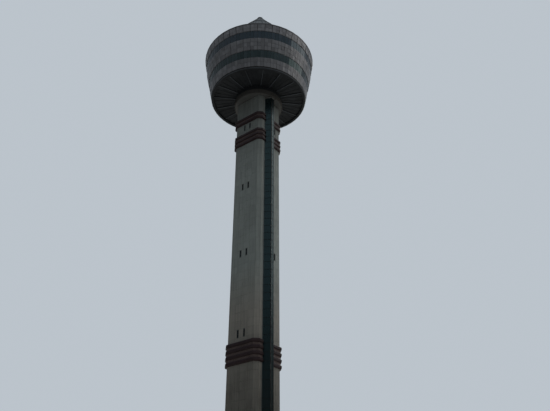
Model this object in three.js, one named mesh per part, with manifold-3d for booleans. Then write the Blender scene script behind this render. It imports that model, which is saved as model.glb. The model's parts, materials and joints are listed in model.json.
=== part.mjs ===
// A tall water tower with a round windowed pod under a steep conical roof.
// It is a 1:10 scale model in millimetres, +Z up, standing on z = 0 with its axis on the origin.
// The glazed lift bay is on the front wall, which faces -Y.

import * as THREE from 'three';
import { mergeVertices, toCreasedNormals } from 'three/addons/utils/BufferGeometryUtils.js';
import Module from 'manifold-3d';

const { mapLinear } = THREE.MathUtils;

const wasm = await Module();
wasm.setup();

// Scale: every size below is the real one in metres, turned into model millimetres.
const SCALE = 10;
const real = (metres) => (metres * 1000) / SCALE;

// Clearances
const GAP = 0.3;            // left where a piece fits round or inside another
const OVERRUN = real(0.5);  // how far a cutting tool runs past what it cuts

// Heights above the ground
const WALL_TOP_Z = real(85.8);
const LIFT_FOOT_Z = real(0.5);
const DRUM_Z = real(75.5);
const DRUM_NECK_Z = real(76.35);
const RIM_Z = real(77.2);
const SOFFIT_Z = real(77.5);
const SOFFIT_TOP_Z = real(77.8);
const LOWER_DECK_Z = real(78.7);
const LOWER_SILL_Z = real(79.35);
const LOWER_HEAD_Z = real(80.9);
const UPPER_DECK_Z = real(82.65);
const UPPER_SILL_Z = real(83.3);
const UPPER_HEAD_Z = real(84.9);
const ROOF_DECK_Z = real(86.2);
const PARAPET_TOP_Z = real(86.5);
const CAP_Z = real(99.3);
const APEX_Z = real(100);

// Shaft: a square with cut corners
const SHAFT_HALF_WIDTH = real(2.83);
const FACE_HALF_LENGTH = real(2.3);
const WALL_THICKNESS = real(0.35);
const GROUND_FLOOR_THICKNESS = real(0.2);

// Slit windows: pairs at every level on three walls, and single ones at every other level on the front wall
const SLIT_WIDTH = real(0.27);
const SLIT_HEIGHT = real(1.1);
const SLIT_PAIR_SPACING = real(1.16);
const SLIT_LEVELS = [69.4, 57.1, 44.9, 32.2, 19.8, 7.4].map((height) => real(height));
const FRONT_SLIT_LEVELS = SLIT_LEVELS.filter((_, level) => level % 2 === 0);
const FRONT_SLIT_X = real(1.14);

// Service door in the back wall
const DOOR_WIDTH = real(1.6);
const DOOR_HEIGHT = real(2.2);
const DOOR_THICKNESS = real(0.1);

// Glazed lift bay: three sides of a half hexagon on the front wall
const BAY_LEFT_X = real(-1.6);
const BAY_RIGHT_X = real(0.18);
const BAY_PROJECTION = real(1.05);
const BAY_FRONT_WIDTH = real(0.61);
const BAY_GLASS = real(0.08);
const BAY_POST = real(0.1);
const BAY_POST_DEPTH = real(0.15);

// Bands of ribs round the shaft
const RIB_HEIGHT = real(0.58);
const RIB_PITCH = real(0.87);
const RIB_PROJECTION = real(0.32);
const BAND_BACK_PROJECTION = real(0.16);
const BAND_START_X = real(0.38);
const BAND_END_X = real(-1.7);
const BANDS = [
  { name: 'low_band', bottom: real(27.8), ribs: 4 },
  { name: 'middle_band', bottom: real(65.7), ribs: 3 },
  { name: 'top_band', bottom: real(70.2), ribs: 2 },
];

// Drum under the pod
const DRUM_RADIUS = real(4.25);
const DRUM_NECK_RADIUS = real(4);

// Pod: its outer wall leans outwards from the rim, and more steeply above the upper sill
const RIM_RADIUS = real(8.5);
const UPPER_SILL_RADIUS = real(9.68);
const PARAPET_RADIUS = real(10.12);
const POD_BAYS = 48;
const POD_WALL_THICKNESS = real(0.3);
const POD_GLASS_RECESS = real(0.08);
const POD_GLASS_THICKNESS = real(0.08);
const DECK_THICKNESS = real(0.3);
const SOFFIT_RIBS = 16;
const SOFFIT_RIB_WIDTH = real(0.2);
const SOFFIT_RIB_DEPTH = real(0.12);
const SOFFIT_RIB_END_GAP = real(0.1);

// Roof
const CONE_RADIUS = real(9.45);
const CONE_TOP_RADIUS = real(0.45);
const CONE_THICKNESS = real(0.15);
const CAP_RADIUS = real(0.55);
const CAP_EAVES = real(0.08);

// Finishes
const finish = (color, roughness, metalness = 0) => ({ color, roughness, metalness });
const WALL_TILE = finish(0xd6d4cb, 0.6);
const CONCRETE = finish(0xa9a7a0, 0.85);
const BAND_RED = finish(0x6b3a33, 0.65);
const DRUM_PAINT = finish(0xb9b2a4, 0.6);
const SOFFIT_PAINT = finish(0x4a4745, 0.7);
const POD_PANEL = finish(0xb4b2ac, 0.35, 0.6);
const POD_GLAZING = finish(0x1f3436, 0.1, 0.2);
const LIFT_GLAZING = finish(0x14292b, 0.1, 0.2);
const DARK_FRAME = finish(0x2d3332, 0.45, 0.5);
const ROOF_METAL = finish(0xaab0b2, 0.4, 0.6);
const DOOR_STEEL = finish(0x5c6466, 0.5, 0.4);

const tower = new THREE.Group();

function addMesh(name, geometry, look) {
  const mesh = new THREE.Mesh(geometry, new THREE.MeshStandardMaterial(look));
  mesh.name = name;
  tower.add(mesh);
  return mesh;
}

// A geometry with its vertices joined, keeping position only
function welded(geometry) {
  const bare = geometry.clone();
  bare.deleteAttribute('normal');
  bare.deleteAttribute('uv');
  return mergeVertices(bare, 1e-4);
}

function toSolid(geometry) {
  const { attributes, index } = welded(geometry);
  const mesh = new wasm.Mesh({
    numProp: 3,
    vertProperties: new Float32Array(attributes.position.array),
    triVerts: new Uint32Array(index.array),
  });
  return new wasm.Manifold(mesh);
}

function toGeometry(solid) {
  const { vertProperties, triVerts } = solid.getMesh();
  const geometry = new THREE.BufferGeometry();
  geometry.setAttribute('position', new THREE.BufferAttribute(vertProperties, 3));
  geometry.setIndex(new THREE.BufferAttribute(triVerts, 1));
  return toCreasedNormals(geometry, Math.PI / 6);
}

// A prism over a plan of [x, y] points, from z = bottom to z = top
function prism(plan, bottom, top) {
  const shape = new THREE.Shape(plan.map(([x, y]) => new THREE.Vector2(x, y)));
  const geometry = new THREE.ExtrudeGeometry(shape, { depth: top - bottom, bevelEnabled: false });
  return geometry.translate(0, 0, bottom);
}

// A box from its lowest to its highest corner
function box(low, high) {
  const size = high.map((value, axis) => value - low[axis]);
  const middle = high.map((value, axis) => (value + low[axis]) / 2);
  return new THREE.BoxGeometry(...size).translate(...middle);
}

// A ring or disc turned round +Z from a profile of [radius, z] points.
// The profile starts and ends on the axis, or closes on itself when it stays off the axis.
function turned(profile, sides = POD_BAYS) {
  const onAxis = profile[0][0] === 0;
  const points = onAxis ? profile : [...profile, profile[0]];
  const geometry = new THREE.LatheGeometry(points.map(([r, z]) => new THREE.Vector2(r, z)), sides);
  return geometry.rotateX(Math.PI / 2);
}

// Shaft plan

// The eight corners of the shaft moved inwards by an inset, starting at the front wall's left end
function shaftPlan(inset = 0) {
  const half = SHAFT_HALF_WIDTH - inset;
  const cutDistance = (SHAFT_HALF_WIDTH + FACE_HALF_LENGTH) / Math.SQRT2 - inset;
  const end = cutDistance * Math.SQRT2 - half;
  return [
    [-end, -half], [end, -half], [half, -end], [half, end],
    [end, half], [-end, half], [-half, end], [-half, -end],
  ];
}

const outerPlan = shaftPlan();
const innerPlan = shaftPlan(WALL_THICKNESS);
const WALL_NAMES = [
  'front_wall', 'front_right_corner', 'right_wall', 'back_right_corner',
  'back_wall', 'back_left_corner', 'left_wall', 'front_left_corner',
];

// The plan of one side of the shaft, mitred to its neighbours
function sidePlan(side) {
  const next = (side + 1) % outerPlan.length;
  return [outerPlan[side], outerPlan[next], innerPlan[next], innerPlan[side]];
}

// The boxes that cut one column of slits through a wall facing -Y, centred on x
function slitTools(x, levels) {
  return levels.map((z) => box(
    [x - SLIT_WIDTH / 2, -SHAFT_HALF_WIDTH - OVERRUN, z - SLIT_HEIGHT / 2],
    [x + SLIT_WIDTH / 2, -SHAFT_HALF_WIDTH + WALL_THICKNESS + OVERRUN, z + SLIT_HEIGHT / 2],
  ));
}

function cutAll(geometry, tools) {
  const solid = tools.reduce((left, tool) => left.subtract(toSolid(tool)), toSolid(geometry));
  return toGeometry(solid);
}

function doorTool() {
  return box(
    [-DOOR_WIDTH / 2, SHAFT_HALF_WIDTH - WALL_THICKNESS - OVERRUN, -OVERRUN],
    [DOOR_WIDTH / 2, SHAFT_HALF_WIDTH + OVERRUN, DOOR_HEIGHT],
  );
}

function addShaft() {
  const columns = [-SLIT_PAIR_SPACING / 2, SLIT_PAIR_SPACING / 2];
  const pair = columns.flatMap((x) => slitTools(x, SLIT_LEVELS));
  const quarterTurns = { right_wall: 1, back_wall: 2, left_wall: 3 };
  WALL_NAMES.forEach((name, side) => {
    const wall = prism(sidePlan(side), 0, WALL_TOP_Z);
    if (name === 'front_wall') {
      addFrontWall();
    } else if (name in quarterTurns) {
      const tools = pair.map((tool) => tool.clone().rotateZ((quarterTurns[name] * Math.PI) / 2));
      if (name === 'back_wall') tools.push(doorTool());
      addMesh(name, cutAll(wall, tools), WALL_TILE);
    } else {
      addMesh(name, wall, WALL_TILE);
    }
  });
  const floorPlan = shaftPlan(WALL_THICKNESS + GAP);
  addMesh('ground_floor', prism(floorPlan, 0, GROUND_FLOOR_THICKNESS), CONCRETE);
}

// The front wall is open behind the lift bay, so it is a part on each side and a head above
function addFrontWall() {
  const front = -SHAFT_HALF_WIDTH;
  const back = front + WALL_THICKNESS;
  const [leftEnd, rightEnd, innerRightEnd, innerLeftEnd] = sidePlan(0);
  const leftPlan = [leftEnd, [BAY_LEFT_X, front], [BAY_LEFT_X, back], innerLeftEnd];
  const rightPlan = [[BAY_RIGHT_X, front], rightEnd, innerRightEnd, [BAY_RIGHT_X, back]];
  addMesh('front_wall_left', prism(leftPlan, 0, WALL_TOP_Z), WALL_TILE);
  const right = cutAll(prism(rightPlan, 0, WALL_TOP_Z), slitTools(FRONT_SLIT_X, FRONT_SLIT_LEVELS));
  addMesh('front_wall_right', right, WALL_TILE);
  const head = box([BAY_LEFT_X, front, DRUM_Z], [BAY_RIGHT_X, back, WALL_TOP_Z]);
  addMesh('front_wall_head', head, WALL_TILE);
}

function addDoor() {
  const leaf = box(
    [-DOOR_WIDTH / 2 + GAP, SHAFT_HALF_WIDTH - WALL_THICKNESS / 2 - DOOR_THICKNESS / 2, 0],
    [DOOR_WIDTH / 2 - GAP, SHAFT_HALF_WIDTH - WALL_THICKNESS / 2 + DOOR_THICKNESS / 2, DOOR_HEIGHT - GAP],
  );
  addMesh('service_door', leaf, DOOR_STEEL);
}

// Lift bay

const bayFrontY = -SHAFT_HALF_WIDTH - BAY_PROJECTION;
const bayMiddleX = (BAY_LEFT_X + BAY_RIGHT_X) / 2;
const bayPlan = [
  [BAY_LEFT_X, -SHAFT_HALF_WIDTH],
  [bayMiddleX - BAY_FRONT_WIDTH / 2, bayFrontY],
  [bayMiddleX + BAY_FRONT_WIDTH / 2, bayFrontY],
  [BAY_RIGHT_X, -SHAFT_HALF_WIDTH],
].map(([x, y]) => new THREE.Vector2(x, y));

// A sheet of glass between two plan points, with its inner face inwards of the line between them
function glassPlan(from, to, startTrim, endTrim) {
  const along = to.clone().sub(from).normalize();
  const inwards = new THREE.Vector2(-along.y, along.x);
  const start = from.clone().addScaledVector(along, startTrim);
  const end = to.clone().addScaledVector(along, -endTrim);
  const innerEnd = end.clone().addScaledVector(inwards, BAY_GLASS);
  const innerStart = start.clone().addScaledVector(inwards, BAY_GLASS);
  return [start, end, innerEnd, innerStart].map((point) => point.toArray());
}

// A post on a plan corner, covering a post width of each sheet's line
function postPlan(before, corner, after) {
  const backwards = before.clone().sub(corner).normalize();
  const onwards = after.clone().sub(corner).normalize();
  const inwards = backwards.clone().add(onwards).normalize();
  return [
    corner.clone().addScaledVector(backwards, BAY_POST - GAP),
    corner,
    corner.clone().addScaledVector(onwards, BAY_POST - GAP),
    corner.clone().addScaledVector(inwards, BAY_POST_DEPTH),
  ].map((point) => point.toArray());
}

function addLiftBay() {
  const [left, frontLeft, frontRight, right] = bayPlan;
  const top = DRUM_Z;
  const slope = Math.atan2(BAY_PROJECTION, frontLeft.x - left.x);
  const wallTrim = BAY_GLASS / Math.tan(slope) + GAP;
  const sheets = [
    ['lift_glass_left', left, frontLeft, wallTrim, BAY_POST],
    ['lift_glass_front', frontLeft, frontRight, BAY_POST, BAY_POST],
    ['lift_glass_right', frontRight, right, BAY_POST, wallTrim],
  ];
  for (const [name, from, to, startTrim, endTrim] of sheets) {
    addMesh(name, prism(glassPlan(from, to, startTrim, endTrim), LIFT_FOOT_Z, top), LIFT_GLAZING);
  }
  addMesh('lift_post_left', prism(postPlan(left, frontLeft, frontRight), LIFT_FOOT_Z, top), DARK_FRAME);
  addMesh('lift_post_right', prism(postPlan(frontLeft, frontRight, right), LIFT_FOOT_Z, top), DARK_FRAME);
  const innerY = -SHAFT_HALF_WIDTH + WALL_THICKNESS;
  const footPlan = [
    ...bayPlan.map((point) => point.toArray()),
    [BAY_RIGHT_X, innerY],
    [BAY_LEFT_X, innerY],
  ];
  addMesh('lift_foot', prism(footPlan, 0, LIFT_FOOT_Z), CONCRETE);
}

// Bands

// The plan of a strip on the shaft that runs from the lift bay's right side round to its left side
function bandPlan(projection) {
  const run = (plan) => [[BAND_START_X, plan[1][1]], ...plan.slice(1), plan[0], [BAND_END_X, plan[0][1]]];
  return [...run(shaftPlan(-GAP)), ...run(shaftPlan(-projection)).reverse()];
}

function addBands() {
  for (const { name, bottom, ribs } of BANDS) {
    const top = bottom + (ribs - 1) * RIB_PITCH + RIB_HEIGHT;
    let band = toSolid(prism(bandPlan(BAND_BACK_PROJECTION), bottom, top));
    for (let rib = 0; rib < ribs; rib += 1) {
      const z = bottom + rib * RIB_PITCH;
      band = band.add(toSolid(prism(bandPlan(RIB_PROJECTION), z, z + RIB_HEIGHT)));
    }
    addMesh(name, toGeometry(band), BAND_RED);
  }
}

// Drum and pod

// Radius of the pod's outer wall at a height
function podRadius(z) {
  if (z < UPPER_SILL_Z) {
    return mapLinear(z, RIM_Z, UPPER_SILL_Z, RIM_RADIUS, UPPER_SILL_RADIUS);
  }
  return mapLinear(z, UPPER_SILL_Z, PARAPET_TOP_Z, UPPER_SILL_RADIUS, PARAPET_RADIUS);
}

// A hole for the shaft through a deck
function shaftTool(bottom, top) {
  return prism(shaftPlan(-GAP), bottom - OVERRUN, top + OVERRUN);
}

function addDrum() {
  const drum = turned([
    [0, DRUM_Z], [DRUM_RADIUS, DRUM_Z], [DRUM_RADIUS, DRUM_NECK_Z],
    [DRUM_NECK_RADIUS, DRUM_NECK_Z], [DRUM_NECK_RADIUS, SOFFIT_Z], [0, SOFFIT_Z],
  ]);
  addMesh('drum', cutAll(drum, [shaftTool(DRUM_Z, SOFFIT_Z)]), DRUM_PAINT);
}

// A round deck whose edge follows the leaning outer wall
function deck(bottom, top) {
  const edge = (z) => podRadius(z) - POD_WALL_THICKNESS - GAP;
  return turned([[0, bottom], [edge(bottom), bottom], [edge(top), top], [0, top]]);
}

function addSoffit() {
  const slab = cutAll(deck(SOFFIT_Z, SOFFIT_TOP_Z), [shaftTool(SOFFIT_Z, SOFFIT_TOP_Z)]);
  const inner = DRUM_NECK_RADIUS + SOFFIT_RIB_END_GAP;
  const outer = podRadius(RIM_Z) - POD_WALL_THICKNESS - SOFFIT_RIB_END_GAP;
  const halfWidth = SOFFIT_RIB_WIDTH / 2;
  const rib = box([inner, -halfWidth, SOFFIT_Z - SOFFIT_RIB_DEPTH], [outer, halfWidth, SOFFIT_Z]);
  let solid = toSolid(slab);
  for (let turn = 0; turn < SOFFIT_RIBS; turn += 1) {
    solid = solid.add(toSolid(rib.clone().rotateZ((turn * 2 * Math.PI) / SOFFIT_RIBS)));
  }
  addMesh('soffit', toGeometry(solid), SOFFIT_PAINT);
}

function addDecks() {
  const decks = [
    ['lower_deck', LOWER_DECK_Z],
    ['upper_deck', UPPER_DECK_Z],
  ];
  for (const [name, top] of decks) {
    const bottom = top - DECK_THICKNESS;
    addMesh(name, cutAll(deck(bottom, top), [shaftTool(bottom, top)]), CONCRETE);
  }
  addMesh('roof_deck', deck(WALL_TOP_Z, ROOF_DECK_Z), CONCRETE);
}

// A ring of the pod's outer wall between two heights, set back by a recess
function podRing(bottom, top, recess, thickness) {
  const outer = (z) => podRadius(z) - recess;
  const inner = (z) => outer(z) - thickness;
  return turned([[inner(bottom), bottom], [outer(bottom), bottom], [outer(top), top], [inner(top), top]]);
}

function addPodWall() {
  const quarters = [['front_left', -1, -1], ['front_right', 1, -1], ['back_right', 1, 1], ['back_left', -1, 1]];
  const bands = [
    ['rim_panels', RIM_Z, LOWER_SILL_Z],
    ['middle_panels', LOWER_HEAD_Z, UPPER_SILL_Z],
    ['parapet_panels', UPPER_HEAD_Z, PARAPET_TOP_Z],
  ];
  const reach = PARAPET_RADIUS + OVERRUN;
  for (const [band, bottom, top] of bands) {
    const ring = toSolid(podRing(bottom, top, 0, POD_WALL_THICKNESS));
    for (const [quarter, signX, signY] of quarters) {
      const low = [Math.min(0, signX * reach), Math.min(0, signY * reach), bottom - OVERRUN];
      const high = [Math.max(0, signX * reach), Math.max(0, signY * reach), top + OVERRUN];
      const piece = ring.intersect(toSolid(box(low, high)));
      addMesh(`${band}_${quarter}`, toGeometry(piece), POD_PANEL);
    }
  }
  const lower = podRing(LOWER_SILL_Z, LOWER_HEAD_Z, POD_GLASS_RECESS, POD_GLASS_THICKNESS);
  const upper = podRing(UPPER_SILL_Z, UPPER_HEAD_Z, POD_GLASS_RECESS, POD_GLASS_THICKNESS);
  addMesh('lower_windows', lower, POD_GLAZING);
  addMesh('upper_windows', upper, POD_GLAZING);
}

// Roof

function addRoof() {
  const inner = (radius) => radius - CONE_THICKNESS;
  const cone = turned([
    [inner(CONE_RADIUS), ROOF_DECK_Z], [CONE_RADIUS, ROOF_DECK_Z],
    [CONE_TOP_RADIUS, CAP_Z], [inner(CONE_TOP_RADIUS), CAP_Z],
  ]);
  addMesh('roof_cone', cone, ROOF_METAL);

  const cap = turned([[0, CAP_Z], [CAP_RADIUS, CAP_Z], [CAP_RADIUS, CAP_Z + CAP_EAVES], [0, APEX_Z]]);
  addMesh('roof_cap', cap, ROOF_METAL);
}

addShaft();
addDoor();
addLiftBay();
addBands();
addDrum();
addSoffit();
addDecks();
addPodWall();
addRoof();

export default tower;
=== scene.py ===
"""The looks of a tall water tower with a windowed pod, in metres at 1:10 scale, +Z up.

The shaft stands on the ground with its axis on the origin, and its front wall faces -Y.
"""

import json
import math

import bmesh
import bpy
import numpy as np
from bpy.props import FloatProperty, FloatVectorProperty, IntProperty, PointerProperty
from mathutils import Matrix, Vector


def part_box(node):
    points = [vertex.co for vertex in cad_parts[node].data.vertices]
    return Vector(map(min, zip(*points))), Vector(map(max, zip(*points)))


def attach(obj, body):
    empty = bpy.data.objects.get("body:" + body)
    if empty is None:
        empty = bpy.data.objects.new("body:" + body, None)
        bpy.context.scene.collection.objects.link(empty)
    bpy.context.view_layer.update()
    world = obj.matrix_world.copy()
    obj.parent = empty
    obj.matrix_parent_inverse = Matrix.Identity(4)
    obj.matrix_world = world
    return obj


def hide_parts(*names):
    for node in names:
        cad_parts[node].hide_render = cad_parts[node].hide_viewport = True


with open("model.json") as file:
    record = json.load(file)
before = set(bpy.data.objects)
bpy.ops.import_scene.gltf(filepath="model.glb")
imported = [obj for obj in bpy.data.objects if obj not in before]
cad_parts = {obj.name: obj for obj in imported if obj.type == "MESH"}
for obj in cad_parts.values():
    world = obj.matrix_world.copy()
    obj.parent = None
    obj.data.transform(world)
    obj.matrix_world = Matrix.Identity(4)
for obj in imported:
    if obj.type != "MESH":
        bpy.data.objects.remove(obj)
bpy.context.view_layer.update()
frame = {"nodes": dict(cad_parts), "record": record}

bl_info = {
    "name": "Water Tower Finishes",
    "version": (1, 0, 0),
    "blender": (4, 5, 0),
    "location": "View3D > Sidebar > Tower",
    "description": "Builds the tiles, cladding, windows, lift glazing, roof and finishes of a water tower",
    "category": "Object",
}

# Scale: one metre of the real tower
REAL = 0.1

# How far the foot of a plate or a bar is sunk into what carries it
SINK = 0.0005

# Shaft, from the frame
SHAFT_HALF = -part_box("left_wall")[0].x
FACE_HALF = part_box("left_wall")[1].y
CUT_HALF = (SHAFT_HALF + FACE_HALF) / math.sqrt(2)
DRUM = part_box("drum")
SHAFT_TOP = DRUM[0].z

# The shaft's eight plan corners, from the front wall's left end and round to the right
SHAFT_PLAN = [
    (-FACE_HALF, -SHAFT_HALF), (FACE_HALF, -SHAFT_HALF), (SHAFT_HALF, -FACE_HALF), (SHAFT_HALF, FACE_HALF),
    (FACE_HALF, SHAFT_HALF), (-FACE_HALF, SHAFT_HALF), (-SHAFT_HALF, FACE_HALF), (-SHAFT_HALF, -FACE_HALF),
]

# Slit windows, at the places of the openings in the walls
SLIT_WIDTH = 0.27 * REAL
SLIT_HEIGHT = 1.1 * REAL
SLIT_PAIR = 0.58 * REAL
SLIT_LEVELS = np.array([7.4, 19.8, 32.2, 44.9, 57.1, 69.4]) * REAL
FRONT_SLIT_LEVELS = SLIT_LEVELS[1::2]
FRONT_SLIT_X = 1.14 * REAL
FRONT_TILE_JOINTS = (FRONT_SLIT_X - 0.035, FRONT_SLIT_X + 0.03)
TILE_ROWS_EACH_LEVEL = 10

# Lift bay, from the frame
BAY_LEFT, BAY_FRONT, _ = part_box("lift_foot")[0]
BAY_RIGHT, _, LIFT_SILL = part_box("lift_foot")[1]
BAY_FRONT_HALF = 0.305 * REAL

# Bands of ribs, which stop on both sides of the lift bay
BAND_RIBS = {"low_band": 4, "middle_band": 3, "top_band": 2}
BAND_START_X = 0.38 * REAL
BAND_END_X = -1.7 * REAL
RIB_PITCH = 0.87 * REAL
RIB_HEIGHT = 0.58 * REAL

# Pod, from the frame
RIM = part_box("rim_panels_front_right")
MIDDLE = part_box("middle_panels_front_right")
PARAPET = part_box("parapet_panels_front_right")
LOWER_SLOPE = (MIDDLE[1].x - RIM[1].x) / (MIDDLE[1].z - RIM[1].z)
UPPER_SLOPE = (PARAPET[1].x - MIDDLE[1].x) / (PARAPET[1].z - MIDDLE[1].z)
BAYS = 48
PARTS_EACH_BAY = 2
BAY_ANGLES = np.arange(BAYS) * 2 * np.pi / BAYS
BAY_ENDS = np.stack([BAY_ANGLES, BAY_ANGLES + 2 * np.pi / BAYS])
HALF_BAY_ANGLES = np.arange(2 * BAYS) * np.pi / BAYS

# Drum and soffit
DRUM_SIDE_TOP = 76.35 * REAL
DRUM_NECK_RADIUS = 4.0 * REAL
SOFFIT_Z = DRUM[1].z
SOFFIT_INNER = 4.12 * REAL
SOFFIT_SETBACK = 0.034
SOFFIT_RIBS = 16
SOFFIT_RIB_DEPTH = 0.12 * REAL

# Roof, from the frame
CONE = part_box("roof_cone")
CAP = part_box("roof_cap")
CONE_TOP_RADIUS = 0.45 * REAL
RIDGES = 16
RIDGE_ANGLES = np.arange(RIDGES) * 2 * np.pi / RIDGES

# Heights at which the walls' painted warm bounce light and their painted shade below and above begin, and are
# at their fullest
BOUNCE_LIGHT_HEIGHTS = (4.3, 3.5)
LOWER_SHADE_HEIGHTS = (3.4, 2.2)
UPPER_SHADE_HEIGHTS = (5.9, 7.5)

# Camera, worked out from the photo's 550 by 411 frame
PHOTO_WIDTH = 550
FOCAL_PIXELS = 609
SENSOR_WIDTH = 36
CAMERA_AZIMUTH = math.radians(-50.2)
CAMERA_DISTANCE = 83.7 * REAL
CAMERA_HEIGHT = 1.6 * REAL
CAMERA_PITCH = math.radians(32.45)
AXIS_LEFT_OF_CENTRE = math.radians(2.07)

# Floor
FLOOR_RADIUS = 60.0
FLOOR_SIDES = 64
FLOOR_Z = -0.002


# Mesh tools

def unit(vectors):
    """Vectors divided by their lengths, along the last axis."""
    return vectors / np.linalg.norm(vectors, axis=-1, keepdims=True)


def neighbours(values):
    """Each value, or point, of a list with the next one."""
    return np.stack([values[:-1], values[1:]], axis=1)


def rectangle(inner, outer, low, high):
    """A closed profile of four corners, from the lower inner one."""
    return [(inner, low), (outer, low), (outer, high), (inner, high)]


def grid_quads(rows, count, closed):
    """Quads over rows of a closed profile: each joins two neighbours in a row to those in the next row."""
    i = np.arange(rows if closed else rows - 1)[:, None]
    j = np.arange(count)[None, :]
    i_next, j_next = (i + 1) % rows, (j + 1) % count
    corners = [i * count + j, i * count + j_next, i_next * count + j_next, i_next * count + j]
    return np.stack(np.broadcast_arrays(*corners), axis=-1).reshape(-1, 4)


def cap_quads(count):
    """A strip of quads that closes an even loop: each joins two neighbours to the two across from them."""
    i = np.arange(count // 2 - 1)
    return np.stack([i, i + 1, count - 2 - i, count - 1 - i], axis=-1)


def tube_quads(rows, count):
    """Quads over an even profile carried through rows of points, closed at both ends."""
    last = (rows - 1) * count
    return np.concatenate([
        grid_quads(rows, count, False), cap_quads(count)[:, ::-1], cap_quads(count) + last,
    ])


def solids(points, pattern, rng):
    """Many like solids as one shape: the same quads for each, moved up by the number of its first point.

    Each solid has a random tone from 0 to 1.
    """
    copies, points_each = points.shape[:2]
    quads = pattern[None] + points_each * np.arange(copies)[:, None, None]
    return points.reshape(-1, 3), quads.reshape(-1, 4), np.repeat(rng.random(copies), points_each)


def inset(corners, amount):
    """Quads with each corner moved in by an amount along both of its edges."""
    onwards = unit(np.roll(corners, -1, axis=1) - corners)
    backwards = unit(np.roll(corners, 1, axis=1) - corners)
    return corners + amount * (onwards + backwards)


def plates(corners, depth, joint, bevel, rng, tilt=0.0):
    """Closed plates on quads given anticlockwise from outside.

    Each is its quad less half a joint all round, raised along the quad's normal, with its face inset
    by the bevel. A tilt moves the face's corners by a random slope, so that panes reflect unevenly.
    """
    foot = inset(corners, joint / 2)
    normal = unit(np.cross(corners[:, 1] - corners[:, 0], corners[:, 3] - corners[:, 0]))[:, None]
    lean = tilt * rng.standard_normal((len(corners), 2))
    signs = np.array([[-1, -1], [1, -1], [1, 1], [-1, 1]])
    lift = (lean[:, None] * signs[None]).sum(axis=-1)[..., None]
    shoulder = foot + (depth - bevel + lift) * normal
    face = inset(foot, bevel) + (depth + lift) * normal
    points = np.stack([foot - SINK * normal, shoulder, face], axis=1).reshape(len(corners), 12, 3)
    sides = np.array([[c, (c + 1) % 4, 4 + (c + 1) % 4, 4 + c] for c in range(4)])
    return solids(points, np.array([[3, 2, 1, 0], *sides, *(sides + 4), [8, 9, 10, 11]]), rng)


def bars(starts, ends, outward, width, depth, rng):
    """Closed straight bars: a flat-backed section with two cut corners, carried from start to end."""
    along = unit(ends - starts)
    side = unit(np.cross(along, outward))
    out = unit(np.cross(side, along))
    cut = 0.25 * min(width, depth)
    half = width / 2
    section = np.array([
        [-half, -SINK], [half, -SINK], [half, depth - cut],
        [half - cut, depth], [cut - half, depth], [-half, depth - cut],
    ])
    spread = section[None, :, :1] * side[:, None] + section[None, :, 1:] * out[:, None]
    points = np.concatenate([starts[:, None] + spread, ends[:, None] + spread], axis=1)
    return solids(points, tube_quads(2, len(section)), rng)


def polar(radius, angle, z):
    """Points at a radius, an angle from the front and a height, going round to the right."""
    radius, angle, z = np.broadcast_arrays(radius, angle, z)
    return np.stack([radius * np.sin(angle), -radius * np.cos(angle), z], axis=-1).astype(float)


def spokes(angles, start, end, outward, width, depth, rng):
    """Bars at angles round the axis, by the radius and height of their starts, ends and outward way."""
    points = [polar(radius, angles, z) for radius, z in (start, end, outward)]
    return bars(*points, width, depth, rng)


def ring(profile, radius=0.0, z=0.0):
    """A closed profile of reach and height about a circle, turned round the axis and closed on itself."""
    reach, height = (np.asarray(profile, float) + [radius, z]).T
    points = polar(reach[None], BAY_ANGLES[:, None], height[None]).reshape(-1, 3)
    return points, grid_quads(BAYS, len(profile), True), np.full(len(points), 0.5)


def plan_sweep(path, profile):
    """A closed profile of reach and height carried along a plan path.

    The reach is measured to the right of the path, and mitred at each of its corners.
    """
    path, profile = np.asarray(path, float), np.asarray(profile, float)
    along = unit(np.diff(path, axis=0))
    normal = np.stack([along[:, 1], -along[:, 0]], axis=-1)
    before, after = np.vstack([normal[:1], normal]), np.vstack([normal, normal[-1:]])
    mitre = (before + after) / (1 + (before * after).sum(axis=1))[:, None]
    plan = path[:, None] + mitre[:, None] * profile[None, :, :1]
    height = np.broadcast_to(profile[:, 1], plan.shape[:2])[..., None]
    points = np.concatenate([plan, height], axis=-1).reshape(-1, 3)
    return points, tube_quads(len(path), len(profile)), np.full(len(points), 0.5)


def joined(shapes):
    """Several shapes of points, quads and tones as one."""
    points, quads, tones = zip(*shapes)
    starts = np.cumsum([0, *map(len, points[:-1])])
    moved = [shape_quads + start for shape_quads, start in zip(quads, starts)]
    return np.concatenate(points), np.concatenate(moved), np.concatenate(tones)


def make_piece(name, shapes, finish, replaces=()):
    """A mesh object of closed shapes, faces outwards, that rides on the tower."""
    points, quads, tone = joined(shapes)
    mesh = bpy.data.meshes.new(name)
    mesh.vertices.add(len(points))
    mesh.vertices.foreach_set("co", points.astype(np.float32).ravel())
    mesh.loops.add(quads.size)
    mesh.loops.foreach_set("vertex_index", quads.astype(np.int32).ravel())
    mesh.polygons.add(len(quads))
    mesh.polygons.foreach_set("loop_start", np.arange(0, quads.size, 4, dtype=np.int32))
    mesh.attributes.new("tone", "FLOAT", "POINT").data.foreach_set("value", tone.astype(np.float32))
    mesh.update(calc_edges=True)
    mesh.polygons.foreach_set("use_smooth", np.zeros(len(quads), bool))
    work = bmesh.new()
    work.from_mesh(mesh)
    bmesh.ops.recalc_face_normals(work, faces=work.faces)
    work.to_mesh(mesh)
    work.free()
    mesh.materials.append(FINISHES[finish])
    piece = bpy.data.objects.new(name, mesh)
    bpy.context.scene.collection.objects.link(piece)
    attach(piece, "root")
    if replaces:
        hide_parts(*replaces)


# Shapes of the tower

def heights(node_name):
    """The lowest and the highest height of a node of the frame."""
    return [corner.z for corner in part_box(node_name)]


def pod_slope(z):
    """How much the pod's wall leans out for each metre up: more below the upper sill than above it."""
    return np.where(np.asarray(z) < MIDDLE[1].z - 1e-6, LOWER_SLOPE, UPPER_SLOPE)


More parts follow.
